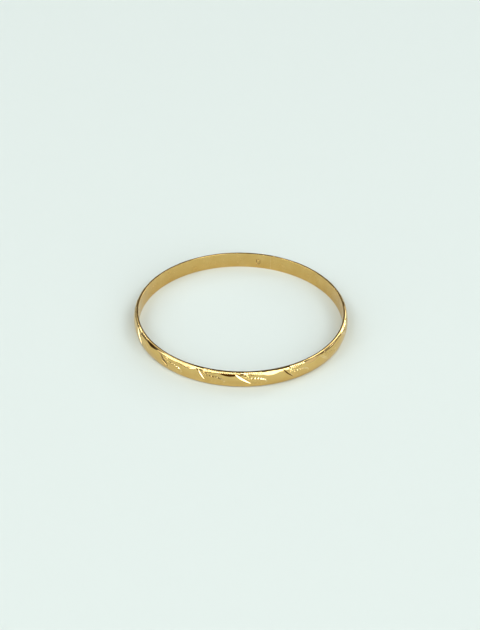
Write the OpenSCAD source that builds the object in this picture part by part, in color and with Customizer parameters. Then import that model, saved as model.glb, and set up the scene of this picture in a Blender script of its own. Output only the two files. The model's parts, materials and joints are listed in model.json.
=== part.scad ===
// Closed slip-on bangle: a solid half-round band, flat inside and diamond cut outside.
// The opening's axis is Z and the lower rim stands on Z = 0. The front faces -Y.

/* [Band] */
// Inside diameter of the ring
inner_d = 60.3; // [54:0.1:70]
// Width of the band, along the axis of the opening
band_w = 5; // [5:0.1:5.2]
// Wall thickness at the crown of the dome
wall = 1.4; // [1.4:0.05:1.6]
// Radius of the dome across the width
dome_r = 5.6; // [5.6:0.1:7]
// Radius of the shoulders between the dome and the rims
shoulder_r = 0.8; // [0.6:0.05:0.8]
// Radius of the rounded inside edges
edge_r = 0.1; // [0.1:0.05:0.2]

/* [Engraving] */
// Number of motifs round the band
motifs = 15; // [8:1:16]
// Angle of the first motif to the right of the front, degrees
first_motif = 1.5; // [-12:0.5:12]
// Mean slant of the long cuts below the horizontal, degrees
long_slant = 40; // [40:1:44]
// Depth of the long cuts at their middle
long_depth = 0.34; // [0.28:0.01:0.38]
// Angle between the flanks of the long cuts, degrees
long_angle = 110; // [100:1:120]
// Depth of the flat facet between one motif and the next
flat_depth = 0.1; // [0.06:0.01:0.12]
// Depth of the short cuts
short_depth = 0.1; // [0.06:0.01:0.12]
// Radius of the ball-nosed tool that makes the short cuts
short_r = 1; // [0.9:0.05:1]

/* [Seam and stamp] */
// Width of the solder between the butted ends of the strip
seam_w = 0.2; // [0.1:0.05:0.3]
// Angle of the seam to the right of the front, degrees
seam_at = 162.5; // [162:0.5:163]
// Angle of the blank stamp to the right of the front, degrees
stamp_at = 170; // [168:0.5:176]
// Height of the stamp's middle above the lower rim
stamp_z = 2.3; // [2:0.1:3]
// Height of the stamp
stamp_h = 1.8; // [1.2:0.1:2]
// Width of the stamp
stamp_w = 1.3; // [1.2:0.1:1.6]
// Width of the stamp's sunk line
stamp_line = 0.22; // [0.15:0.01:0.25]
// Depth of the stamp's sunk line
stamp_depth = 0.14; // [0.06:0.01:0.16]

/* [Hidden] */
$fn = 360;
small_fn = 96;
gold = [0.83, 0.66, 0.32];
solder = [0.86, 0.72, 0.42];
inner_r = inner_d / 2;
half_w = band_w / 2;
pitch = 360 / motifs;
// Middle of the dome's arc, measured outwards from the inside face
dome_x = wall - dome_r;
// Middles of the shoulder arcs, which meet the dome and the rim smoothly
shoulder_z = half_w - shoulder_r;
shoulder_x = dome_x + sqrt(pow(dome_r - shoulder_r, 2) - pow(shoulder_z, 2));
// Height above the crown where the dome meets the shoulder
meet_z = shoulder_z * dome_r / (dome_r - shoulder_r);
// Angle up the dome of the middle of each long cut, high enough to notch the upper rim
long_tilt = 7;
// The motifs are cut by eye. Each has its own [angle away from its even place, slant more
// than the mean, depth of the long cut more than the mean, tilt of the flat facet more]
by_eye = [
    [0, -6, 0, 0], [0, 6, -0.02, 1], [-0.5, 0, 0, -1], [-0.5, -4, -0.04, 2], [0, 2, 0, 0],
    [0.5, -2, 0.02, 3], [0.5, 4, -0.02, -1], [1, 0, 0, 1], [1.5, -4, 0.02, 2], [1.5, 2, 0, 0],
    [2, -2, -0.04, 3], [2, 0, 0, 1], [2.5, -7, 0.02, 7], [3, -2, -0.02, 2], [2.5, 14, -0.1, 0]
];
// Angles of the middle of the flat facet: along the band from its long cut, and its tilt
flat_after = 14.5;
flat_tilt = 25;
// Length and height of the straight V-edged bar that each long cut is the mark of
bar_l = 12;
bar_h = 1.4;
// Short cuts of a motif, as [angle along the band from its long cut, angle up the dome].
// The crest is a straight row of them under the upper rim
crest_cuts = 4;
crest_from = 1.5;
crest_step = 2.5;
crest_tilt = 16;
crest = [for (i = [0 : crest_cuts - 1]) [crest_from + i * crest_step, crest_tilt]];
// The arch is a quarter of an ellipse, from its top down to its right end
arch_cuts = 5;
arch_from = 5;
arch_half_l = 7;
arch_h = 11;
arch_foot = -3.5;
arch = [
    for (i = [0 : arch_cuts - 1])
        let (t = i / (arch_cuts - 1))
            [arch_from + arch_half_l * t, arch_foot + arch_h * sqrt(1 - t * t)]
];
// How far the cutting bodies reach past the metal
spare = 1;

// Half-round section of the strip, with the inside face on X = 0
module section() {
    intersection() {
        translate([dome_x, 0]) circle(dome_r);
        translate([0, -meet_z]) square([wall, 2 * meet_z]);
    }
    // The outer half of each shoulder's circle, so that nothing bulges into the opening
    intersection() {
        for (side = [-1, 1])
            translate([shoulder_x, side * shoulder_z]) circle(shoulder_r, $fn = small_fn);
        translate([shoulder_x, -half_w]) square([wall, band_w]);
    }
    for (side = [-1, 1])
        translate([edge_r, side * (half_w - edge_r)]) circle(edge_r, $fn = small_fn);
    translate([edge_r, -half_w]) square([shoulder_x - edge_r, band_w]);
    translate([0, edge_r - half_w]) square([shoulder_x, band_w - 2 * edge_r]);
}

// The closed ring before engraving
module plain_ring() {
    translate([0, 0, half_w]) rotate_extrude() translate([inner_r, 0]) section();
}

// Slab across the wall where the ends of the strip meet
module seam_slab() {
    rotate([0, 0, seam_at - 90])
        translate([inner_r - spare, -seam_w / 2, -spare])
            cube([wall + 2 * spare, seam_w, band_w + 2 * spare]);
}

// Moves to a point on the dome: X points out of the metal, Y to the right and Z up
module on_dome(angle, tilt) {
    rotate([0, 0, angle - 90])
        translate([inner_r + dome_x, 0, half_w])
            rotate([0, -tilt, 0])
                translate([dome_r, 0, 0])
                    children();
}

// Lens-shaped cut with flat flanks: the mark of a V-edged bar laid across the dome
module long_cut(slant, depth) {
    flare = bar_h * tan(long_angle / 2);
    rotate([90 - slant, 0, 0])
        translate([-depth, 0, -bar_l / 2])
            linear_extrude(bar_l)
                polygon([[0, 0], [bar_h, -flare], [bar_h, flare]]);
}

// Flat facet: a plane cut across the upper shoulder
module flat_cut(angle, tilt) {
    rotate([0, 0, angle - 90])
        translate([inner_r + shoulder_x, 0, half_w + shoulder_z])
            rotate([0, -tilt, 0])
                translate([shoulder_r - flat_depth, -bar_l / 2, -half_w])
                    cube([bar_h, bar_l, band_w]);
}

// Dimple: the mark of a ball sunk into the dome
module short_cut() {
    translate([short_r - short_depth, 0, 0]) sphere(short_r, $fn = small_fn);
}

// One motif: a long slanted cut with two rows of short cuts and a flat facet on its right
module motif(angle, slant, depth, tilt) {
    on_dome(angle, long_tilt) long_cut(slant, depth);
    flat_cut(angle + flat_after, tilt);
    for (cut = concat(crest, arch))
        on_dome(angle + cut[0], cut[1]) short_cut();
}

// Outline of the stamp: a blank frame with round corners
module stamp_outline(w, h) {
    r = w / 3;
    for (x = [-1, 1], y = [-1, 1])
        translate([x * (w / 2 - r), y * (h / 2 - r)]) circle(r, $fn = small_fn);
    square([w, h - 2 * r], center = true);
    square([w - 2 * r, h], center = true);
}

// Sunk line of the stamp on the inside face
module stamp() {
    rotate([0, 0, stamp_at - 90])
        translate([inner_r - spare, 0, stamp_z])
            rotate([90, 0, 90])
                linear_extrude(spare + stamp_depth)
                    difference() {
                        stamp_outline(stamp_w, stamp_h);
                        stamp_outline(stamp_w - 2 * stamp_line, stamp_h - 2 * stamp_line);
                    }
}

// All the motifs. They are cut after the ring is soldered, so they cross the seam too
module engraving() {
    for (i = [0 : motifs - 1]) {
        eye = by_eye[i % len(by_eye)];
        motif(
            first_motif + i * pitch + eye[0],
            long_slant + eye[1],
            long_depth + eye[2],
            flat_tilt + eye[3]
        );
    }
}

// The engraved strip, rolled into a ring and open by the width of the seam
module band() {
    color(gold)
        difference() {
            plain_ring();
            engraving();
            seam_slab();
            stamp();
        }
}

// Solder that fills the seam, dressed flush with the strip
module solder_joint() {
    color(solder)
        difference() {
            intersection() {
                plain_ring();
                seam_slab();
            }
            engraving();
        }
}

band();
solder_joint();
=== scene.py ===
"""Looks of a closed gold bangle: a half-round band, plain inside and engraved outside.

The band is one fine mesh, laid out as columns round the ring and rows round its section.
Columns follow the spine and both borders of every long cut, so that those edges are crisp.
Lengths inside the mesh code are in millimetres; the objects are in metres. "Way round" is
a length along the outside to the right of the front, and "place up" is one up the dome.
"""

import json
import math

import bmesh
import bpy
import numpy as np
from mathutils import Matrix, Vector

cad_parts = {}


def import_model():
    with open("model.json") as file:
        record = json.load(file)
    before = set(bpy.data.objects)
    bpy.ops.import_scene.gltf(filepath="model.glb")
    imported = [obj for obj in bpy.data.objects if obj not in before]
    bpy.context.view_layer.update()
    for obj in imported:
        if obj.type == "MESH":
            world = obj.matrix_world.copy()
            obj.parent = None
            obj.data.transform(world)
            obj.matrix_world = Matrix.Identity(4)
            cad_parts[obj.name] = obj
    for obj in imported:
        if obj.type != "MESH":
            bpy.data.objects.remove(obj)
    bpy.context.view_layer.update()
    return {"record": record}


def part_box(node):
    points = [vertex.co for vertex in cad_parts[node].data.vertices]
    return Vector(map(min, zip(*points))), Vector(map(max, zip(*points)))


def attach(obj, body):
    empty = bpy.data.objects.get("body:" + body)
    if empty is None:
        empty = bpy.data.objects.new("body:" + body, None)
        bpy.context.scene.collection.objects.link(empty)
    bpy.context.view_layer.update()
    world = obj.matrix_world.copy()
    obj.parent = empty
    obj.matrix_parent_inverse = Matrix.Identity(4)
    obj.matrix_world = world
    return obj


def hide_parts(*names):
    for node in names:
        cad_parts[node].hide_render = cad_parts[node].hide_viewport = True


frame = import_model()

MM = 0.001

# ---------------------------------------------------------------- sizes of the band
band_low, band_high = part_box("band")
opening = next(m for m in frame["record"]["mounts"] if m["name"] == "wrist_opening")
OUTER_R = max(band_high.x, -band_low.x) / MM
WIDTH = (band_high.z - band_low.z) / MM
INNER_R = opening["dims"]["r_mm"]
WALL = OUTER_R - INNER_R
HALF_W = WIDTH / 2
EDGE_R = (WIDTH - opening["dims"]["length_mm"]) / 2
# The dome's radius is four times the wall
DOME_R = 4 * WALL
SHOULDER_R = 0.8
# Once round the outside
TURN = 2 * math.pi * OUTER_R

# Middles of the arcs of the section, outwards from the inside face and up from mid-height
DOME_X = WALL - DOME_R
SHOULDER_Z = HALF_W - SHOULDER_R
SHOULDER_X = DOME_X + math.sqrt((DOME_R - SHOULDER_R) ** 2 - SHOULDER_Z**2)
# Where the dome meets the shoulder, as an angle and as a place up the dome
MEET_TILT = math.atan2(SHOULDER_Z, SHOULDER_X - DOME_X)
MEET_V = DOME_R * MEET_TILT

# ---------------------------------------------------------------- engraving
MOTIFS = 15
PITCH = 360 / MOTIFS
FIRST_MOTIF = 1.5
# The motifs are cut by eye. Each has its own angle away from its even place, slant more
# than the mean, depth of the long cut more than the mean and tilt of the flat facet more
BY_EYE = [
    (0, -6, 0, 0), (0, 6, -0.02, 1), (-0.5, 0, 0, -1), (-0.5, -4, -0.04, 2), (0, 2, 0, 0),
    (0.5, -2, 0.02, 3), (0.5, 4, -0.02, -1), (1, 0, 0, 1), (1.5, -4, 0.02, 2), (1.5, 2, 0, 0),
    (2, -2, -0.04, 3), (2, 0, 0, 1), (2.5, -7, 0.02, 7), (3, -2, -0.02, 2), (2.5, 14, -0.1, 0),
]
LONG_SLANT = math.radians(40)
LONG_DEPTH = 0.34
LONG_HALF_ANGLE = math.radians(55)
LONG_TILT = math.radians(7)
# Flat facet under the upper rim between one motif and the next
FLAT_AFTER = math.radians(14.5)
FLAT_TILT = math.radians(25)
FLAT_DEPTH = 0.1
FLAT_REACH = 6.0
# How far a long cut can reach to either side of its middle
LONG_REACH = 7.0
# How far a motif's cuts reach to the left and right of the middle of its long cut
MOTIF_BEFORE = 6.0
MOTIF_AFTER = 13.0

# The graver's small strokes, as (half length, half width, depth, ramp). A ramp of 1 is a
# flat facet that deepens upwards to a steep wall, and 0 is a bowl. The rows of strokes are
# placed from the middle of the long cut, by way round and place up, and turned in degrees
DOT = (0.26, 0.24, 0.15, 0.3)
SCALLOP = (0.34, 0.34, 0.24, 1.0)
PETAL_CUT = (0.22, 0.16, 0.13, 0.0)
PIT = (0.2, 0.2, 0.16, 0.0)
FLUTE = (0.85, 0.32, 0.05, 0.0)
# The wall of a ramp takes up this share of the stroke, from its edge inwards
RAMP_WALL = 1 / 3

# Sparkling row of facets on the upper shoulder. They get smaller to the right
CREST_CUTS = 8
CREST_FROM = 0.75
CREST_STEP = 0.6
CREST_V = 2.35
CREST_SIZE = 0.38
CREST_SHRINK = 0.015
CREST_TURN = -12
CREST_TURN_STEP = 3
CREST_DEPTH_SHARE = 0.55
CREST_RAMP = 0.4
# Dots that carry the row on above the flat facet of some motifs
DOTTED = (2, 4, 5, 8, 10, 11, 13, 14)
DOTS = 9
DOTS_FROM = 5.45
DOTS_STEP = 0.66
DOTS_V = 2.36
# Scallops that arch over and down, closer together at the foot of the arch
ARCH_CUTS = 7
ARCH_FROM = 2.6
ARCH_LENGTH = 4.0
ARCH_HEIGHT = 1.35
ARCH_FOOT = -0.4
ARCH_TURN = -18
ARCH_CROWDING = 0.6
# Petal beside the head of the long cut, as an arc of cuts by their angle in degrees, and
# the two deep pits inside it
PETAL_CUTS = 9
PETAL_FROM = 200
PETAL_STEP = -25
PETAL_S = 0.95
PETAL_V = 1.4
PETAL_HALF_LENGTH = 0.62
PETAL_HALF_HEIGHT = 0.5
PITS = ((0.95, 1.3), (1.75, 0.85))
# Shallow flutes that fan out below the arch
FLUTES = 4
FLUTES_FROM = 2.9
FLUTES_STEP = 1.15
FLUTES_V = -0.85
FLUTES_FALL = 0.08
FLUTES_TURN = -98
FLUTES_TURN_STEP = 14
# Fine pricks scattered by hand between the long cut and the arch
PRICKS = 26
PRICKS_SEED = 40
PRICKS_FROM = 1.8
PRICKS_LENGTH = 4.2
PRICKS_TOP = 0.7
PRICKS_HEIGHT = 1.3
PRICK_HALF = 0.17
PRICK_DEPTH = 0.04
PRICK_DEPTH_SPREAD = 0.05
# Strokes deeper than this take the paler cut finish, a painted sheen that stands in for the
# sparkle of the cuts
PAINTED_SHEEN_DEPTH = 0.04
# Small cuts and unevenness die away over this height below the rims
FADE_H = 0.15
# Slack in telling whether a point lies on a long cut
HAIR = 1e-6
# Unevenness of the dome: height, number of waves round the ring, lean and phase of each
# wave. The dome is lowered by their whole height, so that none stands above the plain dome
WAVES = ((0.006, 23, 0.9, 0.0), (0.005, 41, -0.7, 1.0), (0.003, 67, 2.1, 2.0))
WAVES_HEIGHT = 0.014

# ---------------------------------------------------------------- seam and stamp
SEAM_AT = math.radians(162.5)
SEAM_HALF = 0.1
SEAM_STEPS = 6
STAMP_AT = math.radians(170)
STAMP_Z = 2.3 - HALF_W
STAMP_W = 1.3
STAMP_H = 1.8
STAMP_LINE = 0.22
STAMP_DEPTH = 0.14
# How steep the sides of the sunk line are: 1 would reach the bottom only at its middle
STAMP_STEEP = 1.6
# The finer mesh reaches this far past the stamp
STAMP_ROOM = 0.35
# Points of the inside face lie less than this outside its radius
STAMP_SKIN = EDGE_R / 4
STAMP_UPRIGHT_CUTS = 2
STAMP_CUTS = 4

# ---------------------------------------------------------------- fineness of the mesh
# The dome's rows are wider apart below LOW_V, where there is no engraving
DOME_ROWS = 34
LOW_ROWS = 7
LOW_V = -1.1
SHOULDER_ROWS = 9
LOW_SHOULDER_ROWS = 4
EDGE_ROWS = 3
INSIDE_ROWS = 8
FLANK_COLUMNS = 3
LEAF_COLUMNS = 52
PLAIN_COLUMNS = 26
# Least distance from the spine of a long cut to its borders
BORDER = 0.05
# Right end of a motif's fine columns, and how much it leans with the long cut
LEAF_END = 7.4
LEAF_LEAN = 0.4
# How far the columns have come round from the rim's spacing to even spacing: on the rim,
# at the start of the rounded edge and of the inside face, and more for each row
RIM_SHARE = 0.1
EDGE_SHARE = 0.2
EDGE_SHARE_STEP = 0.1
INSIDE_SHARE = 0.5
INSIDE_SHARE_STEP = 0.25

# Numbers of the band's material slots
OUTSIDE_SLOT = 0
# Slot of the paler cut finish, a painted sheen
PAINTED_SHEEN_SLOT = 1
# Slot of the inside and the strip's ends, whose deeper tone is painted shade
INSIDE_SLOT = 2
# Slot of the painted shade at the bottom of the stamp's line
STAMP_SHADE_SLOT = 3


def shoulder_point(share):
    """Point of the upper shoulder, from the dome at 0 to the rim at 1."""
    a = MEET_TILT + (math.pi / 2 - MEET_TILT) * share
    x = SHOULDER_X + SHOULDER_R * math.cos(a)
    z = SHOULDER_Z + SHOULDER_R * math.sin(a)
    return x, z, MEET_V + SHOULDER_R * (a - MEET_TILT)


def section_rows():
    """Rows of the outside from the lower rim to the upper: (x, z, place up)."""
    rows = []
    for i in range(LOW_SHOULDER_ROWS):
        x, z, v = shoulder_point(1 - i / LOW_SHOULDER_ROWS)
        rows.append((x, -z, -v))
    for i in range(LOW_ROWS + DOME_ROWS + 1):
        if i < LOW_ROWS:
            v = -MEET_V + (LOW_V + MEET_V) * i / LOW_ROWS
        else:
            v = LOW_V + (MEET_V - LOW_V) * (i - LOW_ROWS) / DOME_ROWS
        a = v / DOME_R
        rows.append((DOME_X + DOME_R * math.cos(a), DOME_R * math.sin(a), v))
    for i in range(SHOULDER_ROWS):
        rows.append(shoulder_point((i + 1) / SHOULDER_ROWS))
    return np.array(rows)


def inside_rows():
    """Rows from the upper rim over the inside face to the lower rim: (x, z, share), where
    share says how far the columns have come round to even spacing."""
    rows = [((SHOULDER_X + EDGE_R) / 2, HALF_W, RIM_SHARE)]
    for i in range(EDGE_ROWS + 1):
        a = math.pi / 2 * (1 + i / EDGE_ROWS)
        rows.append((
            EDGE_R + EDGE_R * math.cos(a),
            HALF_W - EDGE_R + EDGE_R * math.sin(a),
            EDGE_SHARE + EDGE_SHARE_STEP * i,
        ))
    top = list(rows)
    flat = HALF_W - EDGE_R
    for i in range(1, INSIDE_ROWS):
        z = flat * (1 - 2 * i / INSIDE_ROWS)
        share = INSIDE_SHARE + INSIDE_SHARE_STEP * min(i, INSIDE_ROWS - i)
        rows.append((0.0, z, min(1.0, share)))
    rows += [(x, -z, share) for x, z, share in reversed(top)]
    return np.array(rows)


OUTSIDE = section_rows()
INSIDE = inside_rows()
# The outside rows as angles up the dome, distances from its middle and places up
ROW_TILT = np.arctan2(OUTSIDE[:, 1], OUTSIDE[:, 0] - DOME_X)
ROW_RHO = np.hypot(OUTSIDE[:, 1], OUTSIDE[:, 0] - DOME_X)
ROW_V = OUTSIDE[:, 2]
RIM_FADE = np.clip((HALF_W - np.abs(OUTSIDE[:, 1])) / FADE_H, 0, 1)

# Directions at the front, and the middle of the dome's arc there
OUT = np.array([0.0, -1.0, 0.0])
RIGHT = np.array([1.0, 0.0, 0.0])
UP = np.array([0.0, 0.0, 1.0])
DOME_CENTRE = OUT * (INNER_R + DOME_X)


def outwards(s):
    """Direction out of the ring at each way round."""
    angle = s / OUTER_R
    return np.stack([np.sin(angle), -np.cos(angle), np.zeros_like(angle)], -1)


def plane_depth(s, tilt, rho, point, face):
    """Depth along the dome's radius from the surface to a plane through the point and
    square to face, both given at s = 0, as far round as s."""
    out = outwards(s)
    centre = out * (INNER_R + DOME_X)
    ray = out * np.cos(tilt)[..., None] + UP * np.sin(tilt)[..., None]
    return rho - ((point - centre) @ face) / (ray @ face)


def flank_depths(s, tilt, rho, slant, deep):
    """Depths of the two flanks of a long cut. s is the way round from the cut's middle,
    and the cut is there where both are positive."""
    s, tilt, rho = np.broadcast_arrays(s, tilt, rho)
    normal = OUT * math.cos(LONG_TILT) + UP * math.sin(LONG_TILT)
    upward = UP * math.cos(LONG_TILT) - OUT * math.sin(LONG_TILT)
    across = upward * math.cos(slant) + RIGHT * math.sin(slant)
    point = DOME_CENTRE + normal * (DOME_R - deep)
    depths = []
    for side in (-1, 1):
        face = normal * math.sin(LONG_HALF_ANGLE) - side * across * math.cos(LONG_HALF_ANGLE)
        depths.append(plane_depth(s, tilt, rho, point, face))
    return depths


def cut_depth(s, tilt, rho, slant, deep):
    """Depth of a long cut, where positive. s is from its middle."""
    lower, upper = flank_depths(s, tilt, rho, slant, deep)
    return np.minimum(lower, upper)


def flat_depth(s, tilt, rho, flat_tilt):
    """Depth of the flat facet under the rim, where positive. s is from its middle."""
    face = OUT * math.cos(flat_tilt) + UP * math.sin(flat_tilt)
    middle = OUT * (INNER_R + SHOULDER_X) + UP * SHOULDER_Z
    depth = plane_depth(s, tilt, rho, middle + face * (SHOULDER_R - FLAT_DEPTH), face)
    return np.where(np.abs(s) < FLAT_REACH, depth, 0)


def bisect(function, low, high, steps=30):
    """Where function, positive at low and negative at high, crosses zero, row by row."""
    for _ in range(steps):
        middle = (low + high) / 2
        positive = function(middle) > 0
        low = np.where(positive, middle, low)
        high = np.where(positive, high, middle)
    return (low + high) / 2


def cut_lines(slant, deep):
    """Ways round of a long cut's left border, spine and right border, for each row."""
    reach = 6.0
    widest = 2.5

    def balance(s):
        lower, upper = flank_depths(s, ROW_TILT, ROW_RHO, slant, deep)
        return upper - lower

    def cut(s):
        return cut_depth(s, ROW_TILT, ROW_RHO, slant, deep)

    nowhere = np.zeros_like(ROW_TILT)
    side = np.sign(balance(nowhere + reach))
    spine = bisect(lambda s: -side * balance(s), nowhere - reach, nowhere + reach)
    inside = cut(spine) > 0
    # Below the cut its lines go straight down
    lowest = np.argmax(inside)
    spine[:lowest] = spine[lowest]
    left = bisect(lambda d: cut(spine - d), nowhere, nowhere + widest)
    right = bisect(lambda d: cut(spine + d), nowhere, nowhere + widest)
    left = np.where(inside, np.maximum(left, BORDER), BORDER)
    right = np.where(inside, np.maximum(right, BORDER), BORDER)
    return spine - left, spine, spine + right


class Motif:
    """Place, slant and column lines of one motif."""

    def __init__(self, number):
        shift, steeper, deeper, flatter = BY_EYE[number]
        self.number = number
        self.at = OUTER_R * math.radians(FIRST_MOTIF + number * PITCH + shift)
        self.slant = LONG_SLANT + math.radians(steeper)
        self.deep = LONG_DEPTH + deeper
        self.flat_tilt = FLAT_TILT + math.radians(flatter)
        left, spine, right = cut_lines(self.slant, self.deep)
        self.left = self.at + left
        self.spine = self.at + spine
        self.right = self.at + right
        self.end = self.at + LEAF_END + LEAF_LEAN * spine


def ordered_motifs():
    """The motifs in the order met from one end of the strip to the other."""
    motifs = [Motif(i) for i in range(MOTIFS)]
    after = [m for m in motifs if m.at > OUTER_R * SEAM_AT]
    before = [m for m in motifs if m.at <= OUTER_R * SEAM_AT]
    for m in after:
        for name in ("at", "left", "spine", "right", "end"):
            setattr(m, name, getattr(m, name) - TURN)
    return after + before


def between(start, stop, count, last=False):
    """Evenly spaced columns from start to stop, without the last one unless asked."""
    shares = np.arange(count + last) / count
    return [start + (stop - start) * share for share in shares]


def column_layout(motifs):
    """Every column's way round for each outside row, from one end of the strip to the
    other. Sets the column numbers of each motif's left border, spine and right border."""
    seam = OUTER_R * SEAM_AT
    seam_half = SEAM_HALF * OUTER_R / INNER_R
    straight = np.ones_like(ROW_V)
    columns = []
    last = straight * (seam - TURN + seam_half)
    for m in motifs:
        columns += between(last, m.left, PLAIN_COLUMNS)
        first = len(columns)
        m.columns = (first, first + FLANK_COLUMNS, first + 2 * FLANK_COLUMNS)
        columns += between(m.left, m.spine, FLANK_COLUMNS)
        columns += between(m.spine, m.right, FLANK_COLUMNS)
        columns += between(m.right, m.end, LEAF_COLUMNS)
        last = m.end
    columns += between(last, straight * (seam - seam_half), PLAIN_COLUMNS, last=True)
    return np.array(columns)


def small_cuts(number):
    """Small cuts of a motif, as (way round, place up, turn, *stroke)."""
    cuts = []
    for i in range(CREST_CUTS):
        size = CREST_SIZE - CREST_SHRINK * i
        stroke = (size, size, CREST_DEPTH_SHARE * size, CREST_RAMP)
        turn = CREST_TURN + CREST_TURN_STEP * i
        cuts.append((CREST_FROM + CREST_STEP * i, CREST_V, turn, *stroke))
    if number in DOTTED:
        for i in range(DOTS):
            cuts.append((DOTS_FROM + DOTS_STEP * i, DOTS_V, 0, *DOT))
    for i in range(ARCH_CUTS):
        share = i / (ARCH_CUTS - 1)
        crowded = math.sin(math.pi / 2 * share)
        t = crowded * ARCH_CROWDING + (1 - ARCH_CROWDING) * share
        v = ARCH_HEIGHT * math.sqrt(max(0.0, 1 - t * t)) + ARCH_FOOT
        cuts.append((ARCH_FROM + ARCH_LENGTH * t, v, ARCH_TURN * t, *SCALLOP))
    for i in range(PETAL_CUTS):
        a = math.radians(PETAL_FROM + PETAL_STEP * i)
        s = PETAL_S + PETAL_HALF_LENGTH * math.cos(a)
        v = PETAL_V + PETAL_HALF_HEIGHT * math.sin(a)
        cuts.append((s, v, math.degrees(a) + 90, *PETAL_CUT))
    for s, v in PITS:
        cuts.append((s, v, 0, *PIT))
    for i in range(FLUTES):
        turn = FLUTES_TURN + FLUTES_TURN_STEP * i
        cuts.append((FLUTES_FROM + FLUTES_STEP * i, FLUTES_V - FLUTES_FALL * i, turn, *FLUTE))
    return cuts


def stipple(number):
    """Fine pricks in a motif's ground, in the form that small_cuts gives."""
    scatter = np.random.default_rng(PRICKS_SEED + number)
    pricks = []
    for _ in range(PRICKS):
        s = PRICKS_FROM + PRICKS_LENGTH * scatter.random()
        v = PRICKS_TOP - PRICKS_HEIGHT * scatter.random()
        depth = PRICK_DEPTH + PRICK_DEPTH_SPREAD * scatter.random()
        pricks.append((s, v, 0, PRICK_HALF, PRICK_HALF, depth, 0.0))
    return pricks


def small_cut_depth(s, v, number):
    """Depth of a motif's small cuts at ways round from its long cut and places up."""
    depth = np.zeros_like(s)
    for cs, cv, turn, half_length, half_width, deep, ramp in small_cuts(number) + stipple(number):
        a = math.radians(turn)
        x = ((s - cs) * math.cos(a) + (v - cv) * math.sin(a)) / half_length
        y = ((v - cv) * math.cos(a) - (s - cs) * math.sin(a)) / half_width
        bowl = np.clip(1 - x * x - y * y, 0, 1)
        wall = (1 - np.hypot(x, y)) / RAMP_WALL
        slope = np.clip(np.minimum(wall, (1 + y) / 2), 0, 1)
        depth = np.maximum(depth, deep * (bowl + ramp * (slope - bowl)))
    return depth


def waviness(s, v):
    """The slight unevenness that filing and buffing by hand leave in the dome."""
    a = s / OUTER_R
    return sum(h * np.sin(count * a + lean * v + phase) for h, count, lean, phase in WAVES)


def place(s, radius, z):
    """Points at ways round, distances from the ring's axis and heights from mid-height."""
    angle = s / OUTER_R
    return np.stack([radius * np.sin(angle), -radius * np.cos(angle), z + HALF_W], -1)


def engrave(columns, motifs):
    """Points of the outside face at the given ways round, whether each lies on a facet of
    a long cut, and whether it takes the paler cut finish, a painted sheen: on such a facet,
    or where a stroke is deep enough."""
    tilt = np.broadcast_to(ROW_TILT, columns.shape)
    rho = np.broadcast_to(ROW_RHO, columns.shape)
    v = np.broadcast_to(ROW_V, columns.shape)
    depth = waviness(columns, v) + WAVES_HEIGHT
    facet = np.zeros(columns.shape, bool)
    painted_sheen = np.zeros(columns.shape, bool)
    for m in motifs:
        # A motif beside the seam reaches across it, to the other end of the strip
        way = (columns - m.at + TURN / 2) % TURN - TURN / 2
        near = np.any((way > -MOTIF_BEFORE) & (way < MOTIF_AFTER), axis=1)
        s = way[near]
        small = small_cut_depth(s, v[near], m.number)
        long_cut = cut_depth(s, tilt[near], rho[near], m.slant, m.deep)
        long_cut = np.where(np.abs(s) < LONG_REACH, long_cut, 0)
        flat = flat_depth(s - OUTER_R * FLAT_AFTER, tilt[near], rho[near], m.flat_tilt)
        depth[near] = np.maximum(np.maximum(depth[near] + small, flat + small), long_cut)
        facet[near] |= long_cut >= depth[near] - HAIR
        painted_sheen[near] |= small > PAINTED_SHEEN_DEPTH
    depth = np.where(facet, depth, depth * RIM_FADE)
    reach = rho - depth
    points = place(columns, INNER_R + DOME_X + reach * np.cos(tilt), reach * np.sin(tilt))
    return points, facet, facet | painted_sheen


def band_points(motifs):
    """Points of the band by column and row, and what engrave says of the outside rows."""
    columns = column_layout(motifs)
    count = len(columns)
    outside, facet, painted_sheen = engrave(columns, motifs)
    # Columns come round to even spacing on the inside face
    even = np.linspace(columns[0, 0], columns[-1, 0], count)
    inside = []
    for x, z, share in INSIDE:
        edge = columns[:, -1] if z > 0 else columns[:, 0]
        s = edge + (even - edge) * share
        inside.append(place(s, INNER_R + np.full(count, x), np.full(count, z)))
    return np.concatenate([outside, np.stack(inside, 1)], 1), facet, painted_sheen


def mesh_object(name, points):
    """Smooth closed mesh through points given in millimetres, by column and row."""
    columns, rows = points.shape[:2]
    mesh = bpy.data.meshes.new(name)
    corners = [tuple(p) for p in points.reshape(-1, 3) * MM]
    mesh.from_pydata(corners, [], tube_faces(columns, rows))
    mesh.validate()
    mesh.update()
    mesh.shade_smooth()
    obj = bpy.data.objects.new(name, mesh)
    bpy.context.scene.collection.objects.link(obj)
    return obj


def tube_faces(columns, rows):
    """Quads of a strip whose section closes on itself, and a cap at each end."""
    faces = []
    for c in range(columns - 1):
        for r in range(rows):
            n = (r + 1) % rows
            faces.append((c * rows + r, (c + 1) * rows + r, (c + 1) * rows + n, c * rows + n))
    faces.append(tuple(range(rows)))
    faces.append(tuple(reversed(range((columns - 1) * rows, columns * rows))))
    return faces


def stamp_place(co):
    """Way round along the inside face and height from the stamp's middle, and the radius."""
    angle = math.atan2(co.x, -co.y)
    s = ((angle - STAMP_AT + math.pi) % (2 * math.pi) - math.pi) * INNER_R
    return s, co.z / MM - HALF_W - STAMP_Z, math.hypot(co.x, co.y) / MM


def near_stamp(co):
    """Whether a point lies on the inside face on the stamp or a little way round it."""
    s, z, r = stamp_place(co)
    on_face = r < INNER_R + STAMP_SKIN
    return on_face and abs(s) < STAMP_W / 2 + STAMP_ROOM and abs(z) < STAMP_H / 2 + STAMP_ROOM


def stamp_edges(bm):
    """Edges of the faces near the stamp."""
    return {e for face in bm.faces if near_stamp(face.calc_center_median()) for e in face.edges}


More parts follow.
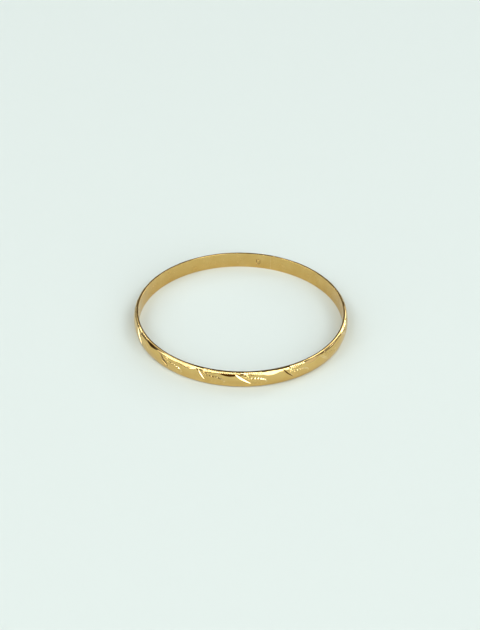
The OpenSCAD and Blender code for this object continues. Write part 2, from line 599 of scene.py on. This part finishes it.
def sink_stamp(mesh):
    """Refines the inside face round the stamp, sinks the line of its blank frame and paints shade
    into the bottom of the line.
    """
    bm = bmesh.new()
    bm.from_mesh(mesh)
    # The rows are further apart than the columns, so the upright edges are cut first
    upright = [
        e for e in stamp_edges(bm) if abs(e.verts[0].co.z - e.verts[1].co.z) > EDGE_R * MM
    ]
    bmesh.ops.subdivide_edges(bm, edges=upright, cuts=STAMP_UPRIGHT_CUTS, use_grid_fill=True)
    near = list(stamp_edges(bm))
    bmesh.ops.subdivide_edges(bm, edges=near, cuts=STAMP_CUTS, use_grid_fill=True)
    corner = STAMP_W / 3
    for vert in bm.verts:
        if not near_stamp(vert.co):
            continue
        s, z, _ = stamp_place(vert.co)
        dx = max(abs(s) - STAMP_W / 2 + corner, 0)
        dz = max(abs(z) - STAMP_H / 2 + corner, 0)
        inwards = corner - math.hypot(dx, dz)
        if dx == 0 and dz == 0:
            inwards = corner + min(STAMP_W / 2 - corner - abs(s), STAMP_H / 2 - corner - abs(z))
        off = abs(inwards - STAMP_LINE / 2) / (STAMP_LINE / 2)
        share = max(0.0, min(1.0, STAMP_STEEP - STAMP_STEEP * off))
        stretch = (INNER_R + STAMP_DEPTH * share) * MM / math.hypot(vert.co.x, vert.co.y)
        vert.co.x *= stretch
        vert.co.y *= stretch
    # Painted shade: the bottom of the sunk line takes a darker finish
    for face in bm.faces:
        s, z, r = stamp_place(face.calc_center_median())
        in_stamp = abs(s) < STAMP_W / 2 and abs(z) < STAMP_H / 2
        if in_stamp and INNER_R + STAMP_DEPTH / 2 < r < INNER_R + STAMP_DEPTH + EDGE_R:
            face.material_index = STAMP_SHADE_SLOT
    bm.to_mesh(mesh)
    bm.free()


def give_finishes(mesh, painted_sheen, rows):
    """Cuts take a paler finish, painted sheen, and the plain inside with the strip's two ends
    takes a deeper one, painted shade.
    """
    # Painted sheen: faces whose four corners lie on cuts or deep strokes take the paler finish
    painted_sheen_faces = painted_sheen[:-1, :-1] & painted_sheen[1:, :-1] & painted_sheen[:-1, 1:] & painted_sheen[1:, 1:]
    steps, outside_steps = painted_sheen_faces.shape
    slots = np.full((steps, rows), INSIDE_SLOT)
    slots[:, :outside_steps] = np.where(painted_sheen_faces, PAINTED_SHEEN_SLOT, OUTSIDE_SLOT)
    ends = [INSIDE_SLOT, INSIDE_SLOT]
    mesh.polygons.foreach_set("material_index", np.append(slots.ravel(), ends))


def sharpen(mesh, facet, motifs, rows):
    """Marks the crisp edges: the spine and borders of the long cuts, and the strip's ends."""
    count, outside_rows = facet.shape
    crisp = np.zeros((count, rows), bool)
    for m in motifs:
        for c in m.columns:
            beside = np.roll(facet[c], 1) | np.roll(facet[c], -1)
            crisp[c, :outside_rows] = facet[c] | beside
    crisp[0] = True
    crisp[-1] = True
    crisp = crisp.ravel()
    ends = np.zeros(len(mesh.edges) * 2, int)
    mesh.edges.foreach_get("vertices", ends)
    ends = ends.reshape(-1, 2)
    same_column = ends[:, 0] // rows == ends[:, 1] // rows
    sharp = same_column & crisp[ends[:, 0]] & crisp[ends[:, 1]]
    mark = mesh.attributes.new("sharp_edge", "BOOLEAN", "EDGE")
    mark.data.foreach_set("value", sharp)


def build_band():
    """The engraved strip, with the numbers of its finishes but not yet the finishes."""
    motifs = ordered_motifs()
    points, facet, painted_sheen = band_points(motifs)
    rows = points.shape[1]
    obj = mesh_object("engraved_band", points)
    give_finishes(obj.data, painted_sheen, rows)
    sharpen(obj.data, facet, motifs, rows)
    sink_stamp(obj.data)
    return obj


def build_solder():
    """The solder between the ends of the strip, dressed flush and cut with the band."""
    half = SEAM_HALF * OUTER_R / INNER_R
    seam_middle = OUTER_R * SEAM_AT
    across = np.linspace(seam_middle - half, seam_middle + half, SEAM_STEPS + 1)
    columns = np.repeat(across[:, None], len(OUTSIDE), axis=1)
    outside, _, _ = engrave(columns, ordered_motifs())
    sections = []
    for s, ring in zip(across, outside):
        inside = place(np.full(len(INSIDE), s), INNER_R + INSIDE[:, 0], INSIDE[:, 1])
        sections.append(np.concatenate([ring, inside]))
    return mesh_object("solder_seam", np.array(sections))


# ---------------------------------------------------------------- materials
# Finishes, in the order of the band's slots and then the solder: light tone, deep tone,
# least and most roughness, strength of the scratches, and how much of their even shape
# they keep. Below 1 they are drawn out round the ring, as buffing on a mandrel does
FINISHES = {
    "gold_outside": ((0.76, 0.52, 0.19), (0.70, 0.46, 0.15), 0.05, 0.10, 0.06, 0.2),
    # Painted sheen: the cut facets' paler tone stands in for their sparkle; their low roughness
    # is their own
    "gold_facets_painted_sheen": ((0.88, 0.68, 0.34), (0.82, 0.60, 0.26), 0.04, 0.08, 0.05, 1.0),
    # Painted shade: the inside's deeper tone stands in for the shade inside the band; its
    # roughness and scratches are its own
    "gold_inside_painted_shade": ((0.72, 0.49, 0.175), (0.66, 0.43, 0.135), 0.18, 0.28, 0.25, 0.08),
    # Painted shade: the stamp's dark tone stands in for the shade at the bottom of its sunk line
    "gold_stamp_painted_shade": ((0.42, 0.28, 0.10), (0.32, 0.20, 0.07), 0.30, 0.45, 0.3, 1.0),
    "gold_solder": ((0.80, 0.58, 0.26), (0.74, 0.50, 0.20), 0.14, 0.24, 0.3, 0.2),
}
# Most of a noise texture lies between these
NOISE_LOW = 0.3
NOISE_HIGH = 0.7
# Scale and detail of the noise for tone, gloss and scratches
TONE_NOISE = (260.0, 3.0)
GLOSS_NOISE = (900.0, 4.0)
SCRATCH_NOISE = (9000.0, 3.0)
SCRATCH_HEIGHT = 0.02


class Nodes:
    """Short way to write a material's nodes."""

    def __init__(self, name):
        self.material = bpy.data.materials.new(name)
        self.material.use_nodes = True
        self.tree = self.material.node_tree
        self.shader = self.tree.nodes["Principled BSDF"]

    def add(self, kind):
        return self.tree.nodes.new(kind)

    def link(self, start, end):
        self.tree.links.new(start, end)

    def calculate(self, operation, a, b):
        node = self.add("ShaderNodeMath")
        node.operation = operation
        for socket, value in zip(node.inputs, (a, b)):
            if isinstance(value, float):
                socket.default_value = value
            else:
                self.link(value, socket)
        return node.outputs[0]

    def noise(self, vector, scale, detail):
        node = self.add("ShaderNodeTexNoise")
        node.inputs["Scale"].default_value = scale
        node.inputs["Detail"].default_value = detail
        self.link(vector, node.inputs["Vector"])
        return node.outputs["Fac"]

    def spread(self, value, low, high):
        node = self.add("ShaderNodeMapRange")
        node.inputs["From Min"].default_value = NOISE_LOW
        node.inputs["From Max"].default_value = NOISE_HIGH
        node.inputs["To Min"].default_value = low
        node.inputs["To Max"].default_value = high
        self.link(value, node.inputs["Value"])
        return node.outputs["Result"]

    def tint(self, value, first, second):
        node = self.add("ShaderNodeValToRGB")
        low, high = node.color_ramp.elements
        low.color = (*first, 1)
        high.color = (*second, 1)
        low.position = NOISE_LOW
        high.position = NOISE_HIGH
        self.link(value, node.inputs["Fac"])
        return node.outputs["Color"]


def gold(name):
    """Polished gold with uneven tone, uneven gloss and fine scratches."""
    light, deep, smooth, rough, scratch, evenness = FINISHES[name]
    n = Nodes(name)
    position = n.add("ShaderNodeTexCoord").outputs["Object"]
    split = n.add("ShaderNodeSeparateXYZ")
    n.link(position, split.inputs[0])
    x, y, z = split.outputs
    # Scratches follow the ring: the way round it, the height and the radius
    angle = n.calculate("ARCTAN2", x, y)
    x_squared = n.calculate("POWER", x, 2.0)
    y_squared = n.calculate("POWER", y, 2.0)
    radius = n.calculate("POWER", n.calculate("ADD", x_squared, y_squared), 0.5)
    unrolled = n.add("ShaderNodeCombineXYZ")
    n.link(n.calculate("MULTIPLY", angle, OUTER_R * MM * evenness), unrolled.inputs["X"])
    n.link(z, unrolled.inputs["Y"])
    n.link(radius, unrolled.inputs["Z"])
    tone = n.noise(position, *TONE_NOISE)
    n.link(n.tint(tone, deep, light), n.shader.inputs["Base Color"])
    gloss = n.noise(position, *GLOSS_NOISE)
    n.link(n.spread(gloss, smooth, rough), n.shader.inputs["Roughness"])
    lines = n.noise(unrolled.outputs[0], *SCRATCH_NOISE)
    bump = n.add("ShaderNodeBump")
    bump.inputs["Strength"].default_value = scratch
    bump.inputs["Distance"].default_value = SCRATCH_HEIGHT * MM
    n.link(lines, bump.inputs["Height"])
    n.link(bump.outputs["Normal"], n.shader.inputs["Normal"])
    n.shader.inputs["Metallic"].default_value = 1.0
    return n.material


# ---------------------------------------------------------------- stage, light, camera
FLOOR_HALF = 8.0
FLOOR_COLOR = (0.615, 0.64, 0.53)
FLOOR_ROUGHNESS = 0.9

# Light of the sky by height, from the horizon at 0 to straight up at 1
SKY = (
    (0.0, (0.10, 0.075, 0.05)),
    (0.2, (0.20, 0.19, 0.17)),
    (0.65, (0.22, 0.22, 0.22)),
    (0.9, (0.13, 0.13, 0.13)),
)
# Dark things in the room: azimuth, elevation and radius as seen from the bangle, colour
DARK_THINGS = (
    (-12, 12, 21, (0.10, 0.055, 0.02)),
    (-104, 12, 19, (0.06, 0.045, 0.03)),
    (108, 8, 24, (0.10, 0.07, 0.04)),
    (180, 45, 28, (0.11, 0.10, 0.085)),
)
# Share of a dark thing's radius that is fully dark
DARK_CORE = 0.8

DAYLIGHT = (0.90, 0.98, 1.15)
PANEL_DISTANCE = 4.0
# Soft panels: azimuth, elevation, width and height in degrees, and radiance
PANELS = {
    "window_right": (35, 28, 38, 56, 4.0),
    "window_left_0": (-84, 38, 13, 54, 3.4),
    "window_left_1": (-66, 38, 9, 54, 3.4),
    "window_left_2": (-52, 38, 8, 54, 3.4),
    "ceiling_front": (-22, 52, 44, 20, 1.4),
    "window_low": (74, 14, 24, 24, 0.8),
    "window_far_right": (138, 36, 28, 44, 3.0),
    "window_far_left": (-144, 44, 24, 30, 1.2),
}
# Small bright lamps that make the engraving glitter: azimuth and elevation
LAMPS = ((-48, 5), (-26, 34), (8, 62), (64, 44), (128, 16), (-128, 30))
LAMP_SIZE = 7
LAMP_RADIANCE = 16.0


def floor():
    mesh = bpy.data.meshes.new("floor")
    square = ((-1, -1), (1, -1), (1, 1), (-1, 1))
    corners = [(x * FLOOR_HALF, y * FLOOR_HALF, 0) for x, y in square]
    mesh.from_pydata(corners, [], [(0, 1, 2, 3)])
    obj = bpy.data.objects.new("floor", mesh)
    bpy.context.scene.collection.objects.link(obj)
    material = bpy.data.materials.new("floor_paper")
    material.use_nodes = True
    shader = material.node_tree.nodes["Principled BSDF"]
    shader.inputs["Base Color"].default_value = (*FLOOR_COLOR, 1)
    shader.inputs["Roughness"].default_value = FLOOR_ROUGHNESS
    mesh.materials.append(material)


def facing(azimuth, elevation):
    """Unit vector from the bangle. Azimuth is to the right of the front, in degrees."""
    a = math.radians(azimuth)
    e = math.radians(elevation)
    return Vector((math.sin(a) * math.cos(e), -math.cos(a) * math.cos(e), math.sin(e)))


def world():
    """A room that is dim along the horizon and softly lit above, with dark things in it."""
    room = bpy.data.worlds.new("room")
    bpy.context.scene.world = room
    room.use_nodes = True
    tree = room.node_tree
    link = tree.links.new
    direction = tree.nodes.new("ShaderNodeTexCoord").outputs["Generated"]
    split = tree.nodes.new("ShaderNodeSeparateXYZ")
    link(direction, split.inputs[0])
    ramp = tree.nodes.new("ShaderNodeValToRGB")
    link(split.outputs["Z"], ramp.inputs["Fac"])
    stops = ramp.color_ramp
    # A new ramp has a stop at each end. The others start between them
    while len(stops.elements) < len(SKY):
        stops.elements.new(0.5)
    for stop, (height, shade) in zip(stops.elements, SKY):
        stop.position = height
        stop.color = (*shade, 1)
    color = ramp.outputs["Color"]
    for azimuth, elevation, radius, dark in DARK_THINGS:
        dot = tree.nodes.new("ShaderNodeVectorMath")
        dot.operation = "DOT_PRODUCT"
        link(direction, dot.inputs[0])
        dot.inputs[1].default_value = facing(azimuth, elevation)
        shade = tree.nodes.new("ShaderNodeMapRange")
        shade.inputs["From Min"].default_value = math.cos(math.radians(radius))
        shade.inputs["From Max"].default_value = math.cos(math.radians(DARK_CORE * radius))
        link(dot.outputs["Value"], shade.inputs["Value"])
        mix = tree.nodes.new("ShaderNodeMixRGB")
        link(shade.outputs["Result"], mix.inputs["Fac"])
        link(color, mix.inputs["Color1"])
        mix.inputs["Color2"].default_value = (*dark, 1)
        color = mix.outputs["Color"]
    link(color, tree.nodes["Background"].inputs["Color"])


def panel(name, azimuth, elevation, wide, tall, radiance):
    """A soft panel aimed at the bangle, given by the angles that it spans as seen from
    there, in degrees. Azimuth is to the right of the front."""
    light = bpy.data.lights.new(name, "AREA")
    light.shape = "RECTANGLE"
    light.size = 2 * PANEL_DISTANCE * math.tan(math.radians(wide / 2))
    light.size_y = 2 * PANEL_DISTANCE * math.tan(math.radians(tall / 2))
    light.energy = math.pi * radiance * light.size * light.size_y
    light.color = DAYLIGHT
    obj = bpy.data.objects.new(name, light)
    bpy.context.scene.collection.objects.link(obj)
    toward = facing(azimuth, elevation)
    obj.location = toward * PANEL_DISTANCE
    obj.rotation_euler = toward.to_track_quat("Z", "Y").to_euler()


def camera():
    """Looks down at the ring from the front, as far off as the framing needs."""
    down = math.radians(35.26)
    roll = math.radians(0.82)
    distance = 12.18 * OUTER_R * MM
    aside = Vector((-0.008, 0.004, 0)) * OUTER_R * MM
    data = bpy.data.cameras.new("camera")
    data.sensor_width = 36.0
    data.lens = 74.2857
    data.clip_start = 0.01
    obj = bpy.data.objects.new("camera", data)
    bpy.context.scene.collection.objects.link(obj)
    turn = Matrix.Rotation(math.pi / 2 - down, 4, "X") @ Matrix.Rotation(roll, 4, "Z")
    centre = Matrix.Translation((0, 0, HALF_W * MM))
    away = Matrix.Translation(aside + Vector((0, 0, distance)))
    obj.matrix_world = centre @ turn @ away
    bpy.context.scene.camera = obj


camera()
floor()
world()
for name, span in PANELS.items():
    panel(name, *span)
for number, (azimuth, elevation) in enumerate(LAMPS):
    panel(f"lamp_{number}", azimuth, elevation, LAMP_SIZE, LAMP_SIZE, LAMP_RADIANCE)

*band_finishes, solder_finish = (gold(name) for name in FINISHES)
band = build_band()
for finish in band_finishes:
    band.data.materials.append(finish)
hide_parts("band")
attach(band, "root")

seam = build_solder()
seam.data.materials.append(solder_finish)
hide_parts("solder_joint")
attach(seam, "root")

bpy.context.scene.view_settings.view_transform = "Standard"
